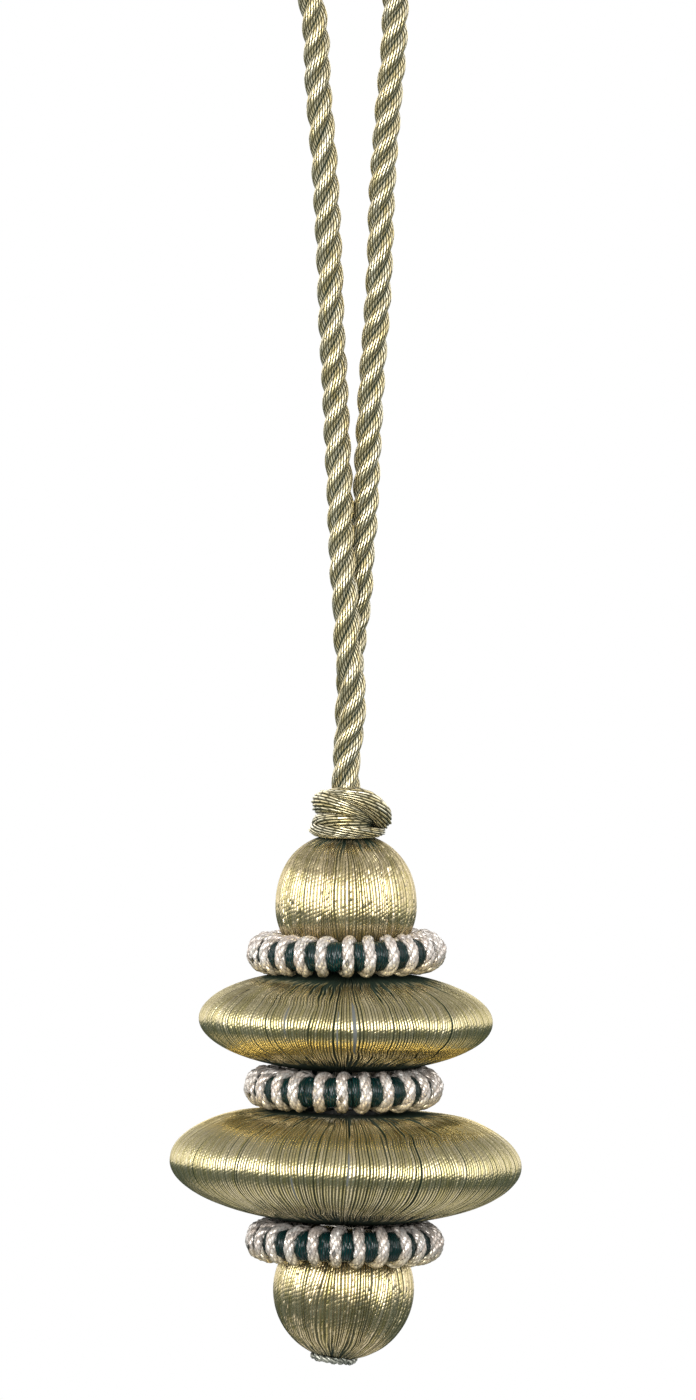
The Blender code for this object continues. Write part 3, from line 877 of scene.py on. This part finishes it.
def wound(centre, tilt, profile, threads, seed, fans, gap_darkness=1.0, reflection_span=None, slits=()):
    """A mould wound from pole to pole: its profile is turned round its axis and ridged by threads.

    Each point is raised along the profile's normal, in widths of one thread: a thread's sides lie
    a little below its crest, the gap before it lies as deep as it is dark and wide, and the whole
    thread stands proud or sunk by chance. A slit is one gap widened by a lens, and isn't sunk.
    Between the two shares of its rows that are given, a painted reflection of gold warms the thread's
    colour.
    """
    across, height = profile
    rows = len(across)
    rng = np.random.default_rng(seed)
    darkness, width, shade = winding_gaps(across, threads, fans, rng)
    slit_width, bare = slit_lenses(slits, rows, threads)
    width += slit_width
    azimuth = thread_places(width, rng)
    column = np.arange(threads * WOUND_POINTS)
    thread, part = column // WOUND_POINTS, column % WOUND_POINTS
    after = np.roll(darkness, -1, axis=1)
    nearest_gap = np.stack([darkness, darkness, (darkness + after) / 2, after], axis=2)
    laid_bare = np.stack([bare, bare, np.zeros_like(bare), np.roll(bare, -1, axis=1)], axis=2)
    deep = darkness * GAP_DEPTH * (1 + width) * (1 - bare)
    sink = np.where(part == 0, deep.repeat(WOUND_POINTS, axis=1), 0)
    crown = np.array([0.0, -THREAD_CROWN, 0.0, -THREAD_CROWN])[part]
    proud = rng.normal(0, THREAD_PROUD, threads)[thread]
    raised = across[:, None] * math.tau / threads * (crown - sink + proud * (part > 0))
    run = distance_along(np.stack(profile, axis=1))
    along = unit(np.stack([np.gradient(across, run), np.gradient(height, run)], axis=1))
    normal = np.stack([-along[:, 1], along[:, 0]], axis=1)
    radius = across[:, None] + normal[:, :1] * raised
    up = height[:, None] + normal[:, 1:] * raised
    points = np.stack([radius * np.cos(azimuth), radius * np.sin(azimuth), up], axis=2)
    stagger = np.cumsum(rng.normal(BEAD_STAGGER, BEAD_CHANCE, threads))
    beads = run[:, None] / BEAD + stagger[np.append(thread, 0)]
    return dict(
        points=tilted(points, centre, tilt),
        uv=thread_map(threads, len(column), beads),
        loop=False,
        tone=rng.random(threads)[thread],
        gap=gap_darkness * nearest_gap.reshape(azimuth.shape),
        bare=laid_bare.reshape(azimuth.shape),
        shade=shade.repeat(WOUND_POINTS, axis=1),
        painted_reflection=reflection_band(reflection_span, rows) if reflection_span else 0.0,
    )


def ball_profile(top, power, bottom, arc):
    """A quarter oval of the given power over a quarter ellipse, between two angles off the axis."""
    angle = np.radians(np.linspace(*arc, BALL_ROWS))
    upper = angle < math.pi / 2
    bend = np.where(upper, 2 / power, 1)
    across = BALL_RADIUS * np.sin(angle) ** bend
    height = np.where(upper, top, -bottom) * np.abs(np.cos(angle)) ** bend
    return across, height


def disc_profile(radius, top, bottom, seat):
    """Half an ellipse over half an ellipse, its top drawn in under the seat by a high power mean."""
    angle = np.radians(np.linspace(*DISC_ARC, DISC_ROWS))
    upper = angle < math.pi / 2
    height = np.where(upper, top, bottom) * np.cos(angle)
    over = np.where(upper, height, seat)
    drawn_in = (over**-SEAT_POWER + seat**-SEAT_POWER) ** (-1 / SEAT_POWER)
    return radius * np.sin(angle), np.where(upper, drawn_in, height)


def ball_upper(material):
    """The upper ball, drawn up to a neck, with its centre over the flat on which its node stands."""
    low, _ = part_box("ball_upper")
    centre = (middle_of("ball_upper")[0], 0, low.z / MM + BALL_UPPER_FLAT)
    profile = ball_profile(BALL_UPPER_TOP, NECK_POWER, BALL_UPPER_BOTTOM, BALL_UPPER_ARC)
    grid = wound(centre, 0, profile, BALL_THREADS, BALL_UPPER_SEED, BALL_UPPER_FANS, BALL_GAP)
    return build("ball_upper_winding", [grid], material, ["ball_upper"])


def ball_lower_centre():
    """The lower ball's centre, from its box: its lowest point is the rim of its leaning end flat."""
    low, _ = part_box("ball_lower")
    rim = math.sqrt(BALL_RADIUS**2 - BALL_LOWER_END_FLAT**2)
    lean = math.radians(BALL_LOWER_LEAN)
    drop = BALL_LOWER_END_FLAT * math.cos(lean) + rim * math.sin(lean)
    return np.array([middle_of("ball_lower")[0], 0, low.z / MM + drop])


def ball_lower(material):
    """The lower ball, round and leaning to the right."""
    centre = ball_lower_centre()
    profile = ball_profile(BALL_RADIUS, 2, BALL_RADIUS, BALL_LOWER_ARC)
    grid = wound(
        centre, BALL_LOWER_LEAN, profile, BALL_THREADS, BALL_LOWER_SEED, BALL_LOWER_FANS, BALL_GAP
    )
    return build("ball_lower_winding", [grid], material, ["ball_lower"])


def disc(node, material, radius, top, bottom, seat, tilt, threads, seed, fans, reflection_span, slits):
    """A wound disc, its centre over its node's lowest point by the drop of a leaning ellipse."""
    low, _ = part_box(node)
    lean = math.radians(tilt)
    drop = math.hypot(bottom * math.cos(lean), radius * math.sin(lean))
    centre = (middle_of(node)[0], 0, low.z / MM + drop)
    profile = disc_profile(radius, top, bottom, seat)
    grid = wound(centre, tilt, profile, threads, seed, fans, reflection_span=reflection_span, slits=slits)
    return build(f"{node}_winding", [grid], material, [node])


# Rings


def silk_ring(number, material):
    """A torus of silk: threads laid round the tube raise ridges along the ring, proud by chance.

    A thread leans along the ring by the sine of its angle round the tube.
    """
    column, thread, gap = ridged_columns(SILK_THREADS)
    columns = len(column)
    tube = np.arange(SILK_ROWS)[:, None] * math.tau / SILK_ROWS
    ring = column * math.tau / columns + SILK_SLANT * np.sin(tube)
    rng = np.random.default_rng(SILK_SEED + number)
    reach = SILK_RADIUS - SILK_GROOVE * gap + SILK_PROUD * rng.normal(0, 1, SILK_THREADS)[thread]
    out = RING_RADIUS + reach * np.cos(tube)
    points = np.stack([out * np.cos(ring), out * np.sin(ring), reach * np.sin(tube)], axis=2)
    points = tilted(points, middle_of(f"ring_core_{number}"), RINGS[number]["tilt"])
    ends = np.append(thread, 0)
    turns = np.arange(SILK_ROWS + 1)[:, None] * round(math.tau * SILK_RADIUS / BEAD) / SILK_ROWS
    turns = turns + SILK_STAGGER * ends + SILK_CHANCE * rng.random(SILK_THREADS)[ends]
    uv = thread_map(SILK_THREADS, columns, turns)
    grid = dict(points=points, uv=uv, loop=True, tone=rng.random(SILK_THREADS)[thread], gap=1.0)
    return build(f"ring_silk_{number}", [grid], material, [f"ring_core_{number}"])


def ring_cord(number, material):
    """The cord wound round a ring: its centreline turns many times about the silk in one round.

    Its ring angle is an even advance, less a bunching on the inner side, plus two small waves round
    the ring. Three strands turn about it, and each swells in a wave. Low on the ring, where it
    faces gold thread, a painted reflection of the gold warms the cord's colour.
    """
    phase = math.radians(RINGS[number]["phase"]) - math.pi / 2
    tube = np.arange(WRAP_STEPS) * math.tau * WRAPS / WRAP_STEPS
    advance = tube / WRAPS
    uneven = wave_sum(advance, [(size, rate, start * number) for size, rate, start in WRAP_WAVES])
    ring = phase + advance - WRAP_BUNCHING / WRAPS * np.sin(tube) + uneven
    out = np.stack([np.cos(ring), np.sin(ring), np.zeros(WRAP_STEPS)], axis=1)
    up = np.array([0, 0, 1.0])
    normal = out * np.cos(tube)[:, None] + up * np.sin(tube)[:, None]
    centre = out * RING_RADIUS + normal * WRAP_SEAT
    forward = unit(np.roll(centre, -1, axis=0) - np.roll(centre, 1, axis=0))
    other = np.cross(forward, normal)
    steps = np.linalg.norm(centre - np.roll(centre, 1, axis=0), axis=1)
    length = steps.sum()
    run = np.cumsum(steps) - steps[0]
    lays = round(length / WRAP_LAY)
    angles = np.arange(WRAP_STRAND_POINTS)[None] * math.tau / WRAP_STRAND_POINTS
    uv = thread_map(WRAP_STRAND_THREADS, WRAP_STRAND_POINTS, np.append(run, length)[:, None] / BEAD)
    painted_reflection = WRAP_PAINTED_REFLECTION * np.clip(-WRAP_UNDERSIDE - np.sin(tube), 0, 1 - WRAP_UNDERSIDE)[:, None]
    rng = np.random.default_rng(WRAP_SEED + number)
    grids = []
    for k in range(WRAP_STRANDS):
        turn = run * math.tau * lays / length + k * math.tau / WRAP_STRANDS
        swell = WRAP_SWELL * np.sin(run * WRAP_SWELL_RATE + 2 * k)[:, None]
        points = strand(centre, normal, other, turn, WRAP_STRAND_OFFSET, WRAP_STRAND_RADIUS, angles, swell)
        points = tilted(points, middle_of(f"ring_core_{number}"), RINGS[number]["tilt"])
        tone = 0.5 + 0.5 * np.sin(run * WRAP_TONE_RATE + rng.random() * WRAP_TONE_START)[:, None]
        grids.append(dict(points=points, uv=uv, loop=True, tone=tone, gap=WRAP_GAP, painted_reflection=painted_reflection))
    return build(f"ring_cord_{number}", grids, material, [f"ring_wrap_{number}"])


def end_coil(material):
    """The end tie: a two-ply cord wound in a shallow cup under the lower ball, and then across its floor.

    The path's radius falls first along the cup's side and then evenly to the middle, and it waves
    slightly up and down, as a hand-wound end does.
    """
    share = np.linspace(0, 1, TIE_STEPS)
    angle = share * TIE_TURNS * math.tau
    side_share, floor_share = np.clip(2 * share, 0, 1), np.clip(2 * share - 1, 0, 1)
    draw_in, sink = TIE_SIDE
    radius = TIE_RADIUS - draw_in * side_share - TIE_FLOOR * floor_share
    level = -TIE_DROP - sink * side_share + wave_sum(angle, TIE_WAVES)
    centre = np.stack([radius * np.cos(angle), radius * np.sin(angle), level], axis=1)
    side, other = across_path(centre, np.array([0, 0, 1.0]))
    run = distance_along(centre)
    angles = np.arange(TIE_PLY_POINTS)[None] * math.tau / TIE_PLY_POINTS
    uv = thread_map(TIE_PLY_THREADS, TIE_PLY_POINTS, run[:, None] / BEAD)
    lean = math.radians(BALL_LOWER_LEAN)
    end_flat = -BALL_LOWER_END_FLAT * np.array([math.sin(lean), 0, math.cos(lean)])
    seat = ball_lower_centre() + end_flat
    grids = []
    for k in range(TIE_PLIES):
        turn = run * math.tau / TIE_LAY + k * math.tau / TIE_PLIES
        points = strand(centre, side, other, turn, TIE_PLY_OFFSET, TIE_PLY_RADIUS, angles)
        points = tilted(points, seat, BALL_LOWER_LEAN)
        tone = 0.5 + 0.5 * np.sin(math.pi * k + TIE_TONE_RATE * run)[:, None]
        grids.append(dict(points=points, uv=uv, loop=False, tone=tone, gap=TIE_GAP))
    return build("end_tie_coil", grids, material, ["end_tie"])


# Camera, lights and stage


def aim(item, place, back):
    """Puts a camera or lamp at its place, so that it looks against the direction back."""
    item.location = place
    item.rotation_mode = "QUATERNION"
    item.rotation_quaternion = (-back).to_track_quat("-Z", "Y")


def add_camera():
    """A long lens on the whole of the body and the lower part of the loop."""
    data = bpy.data.cameras.new("camera")
    data.sensor_width = CAMERA_SENSOR
    data.lens = CAMERA_SENSOR * CAMERA_DISTANCE / FRAME_HEIGHT
    camera = placed("camera", data)
    rise = math.radians(CAMERA_ELEVATION)
    back = Vector((0, -math.cos(rise), math.sin(rise)))
    aim(camera, Vector(CAMERA_TARGET) + back * CAMERA_DISTANCE, back)
    bpy.context.scene.camera = camera


def add_lamp(name, place, target, width, height, brightness):
    """A soft rectangular lamp at a place, facing a target, unseen by the camera itself."""
    data = bpy.data.lights.new(name, "AREA")
    data.shape = "RECTANGLE"
    data.size = width
    data.size_y = height
    data.energy = brightness * math.pi * width * height
    lamp = placed(name, data)
    aim(lamp, place, Vector(place) - Vector(target))
    lamp.visible_camera = False


def add_floor():
    """A round pale floor, far under the tassel."""
    bpy.ops.mesh.primitive_circle_add(
        vertices=FLOOR_SIDES, radius=FLOOR_RADIUS, fill_type="NGON", location=(0, 0, FLOOR_HEIGHT)
    )
    floor = bpy.context.object
    floor.name = "floor"
    floor.data.materials.append(floor_material())


def add_surround():
    """A surround that the camera sees white, and that lights the tassel by a soft band at its level.

    Its light is read off a ramp by the height of the ray's direction, from straight down to up.
    """
    world = bpy.data.worlds.new("surround")
    bpy.context.scene.world = world
    world.use_nodes = True
    tree = world.node_tree
    seen = tree.nodes["Background"]
    seen.inputs["Color"].default_value = (1, 1, 1, 1)
    seen.inputs["Strength"].default_value = 1.0
    direction = add_node(tree, "ShaderNodeTexCoord").outputs["Generated"]
    _, _, rise = add_node(tree, "ShaderNodeSeparateXYZ", {0: direction}).outputs
    height = maths(tree, "MULTIPLY", maths(tree, "ADD", rise, 1.0), 0.5)
    sky = add_node(tree, "ShaderNodeValToRGB", {0: height})
    stops = sky.color_ramp.elements
    while len(stops) < len(SKY):
        stops.new(0.5)
    for stop, (elevation, brightness, redness) in zip(stops, SKY):
        stop.position = (math.sin(math.radians(elevation)) + 1) / 2
        stop.color = (brightness * redness, brightness, brightness, 1)
    glow = add_node(tree, "ShaderNodeBackground", {"Color": sky.outputs[0], "Strength": SKY_STRENGTH})
    camera_ray = add_node(tree, "ShaderNodeLightPath").outputs["Is Camera Ray"]
    shown = {0: camera_ray, 1: glow.outputs[0], 2: seen.outputs[0]}
    mix = add_node(tree, "ShaderNodeMixShader", shown).outputs[0]
    tree.links.new(mix, tree.nodes["World Output"].inputs["Surface"])


def main():
    """Builds every piece and the scene round it."""
    finish = {name: thread_material(name, **look) for name, look in FINISHES.items()}
    add_camera()
    twisted_cord(finish["gold_cord"])
    collar_knot(finish["gold_cord"])
    ball_upper(finish["gold_thread"])
    for node, sizes in DISCS.items():
        disc(node, finish["gold_thread_disc"], **sizes)
    ball_lower(finish["gold_thread"])
    for number in RINGS:
        silk_ring(number, finish["dark_silk"])
        ring_cord(number, finish["champagne_cord"])
    end_coil(finish["tie_thread"])
    add_floor()
    add_surround()
    for name, lamp in LAMPS.items():
        add_lamp(name, **lamp)
    bpy.context.scene.view_settings.view_transform = "Standard"


main()
